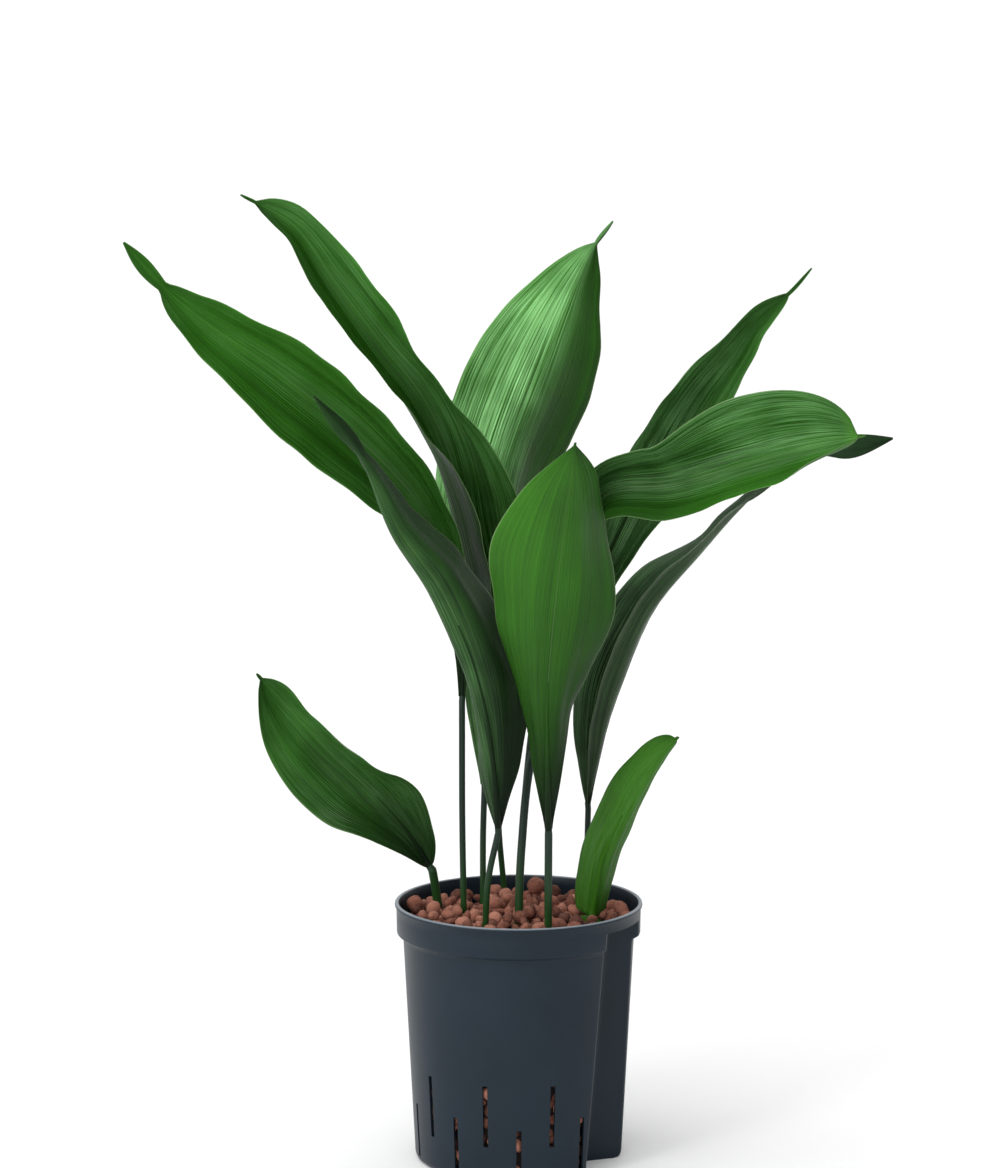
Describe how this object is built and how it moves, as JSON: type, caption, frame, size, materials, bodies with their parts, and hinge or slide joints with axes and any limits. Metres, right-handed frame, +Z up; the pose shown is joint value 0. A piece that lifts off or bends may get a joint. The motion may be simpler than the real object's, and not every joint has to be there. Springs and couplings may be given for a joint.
{
  "type": "potted cast iron plant",
  "caption": "Potted cast iron plant: arching broad leaves on slim stalks, rooted in clay granules in a slotted culture pot with a gauge groove.",
  "frame": {"origin": "middle of the pot's underside, on the surface that the pot stands on", "axes": "+Z up along the pot's axis, -Y towards the front view, +X to the right"},
  "size_m": [0.558, 0.3235, 0.6969],
  "materials": {
    "leaf_blade": "satin",
    "leaf_stalk": "satin",
    "rhizome_and_roots": "rough",
    "expanded_clay": "rough",
    "pot_plastic": "satin"
  },
  "bodies": {
    "root": {"blade_far_left": "leaf_blade", "blade_front_centre": "leaf_blade", "blade_front_left": "leaf_blade", "blade_right_back": "leaf_blade", "blade_right_over": "leaf_blade", "blade_right_upper": "leaf_blade", "blade_small_left": "leaf_blade", "blade_small_right": "leaf_blade", "blade_top_centre": "leaf_blade", "blade_upper_left": "leaf_blade", "clay_bed": "expanded_clay", "culture_pot": "pot_plastic", "granule_1": "expanded_clay", "granule_10": "expanded_clay", "granule_11": "expanded_clay", "granule_12": "expanded_clay", "granule_13": "expanded_clay", "granule_14": "expanded_clay", "granule_15": "expanded_clay", "granule_16": "expanded_clay", "granule_17": "expanded_clay", "granule_18": "expanded_clay", "granule_2": "expanded_clay", "granule_3": "expanded_clay", "granule_4": "expanded_clay", "granule_5": "expanded_clay", "granule_6": "expanded_clay", "granule_7": "expanded_clay", "granule_8": "expanded_clay", "granule_9": "expanded_clay", "rhizome_left": "rhizome_and_roots", "rhizome_middle": "rhizome_and_roots", "rhizome_right": "rhizome_and_roots", "root_1": "rhizome_and_roots", "root_2": "rhizome_and_roots", "root_3": "rhizome_and_roots", "root_4": "rhizome_and_roots", "root_5": "rhizome_and_roots", "root_6": "rhizome_and_roots", "root_7": "rhizome_and_roots", "root_8": "rhizome_and_roots", "stalk_far_left": "leaf_stalk", "stalk_front_centre": "leaf_stalk", "stalk_front_left": "leaf_stalk", "stalk_right_back": "leaf_stalk", "stalk_right_over": "leaf_stalk", "stalk_right_upper": "leaf_stalk", "stalk_small_left": "leaf_stalk", "stalk_small_right": "leaf_stalk", "stalk_top_centre": "leaf_stalk", "stalk_upper_left": "leaf_stalk"}
  },
  "joints": []
}
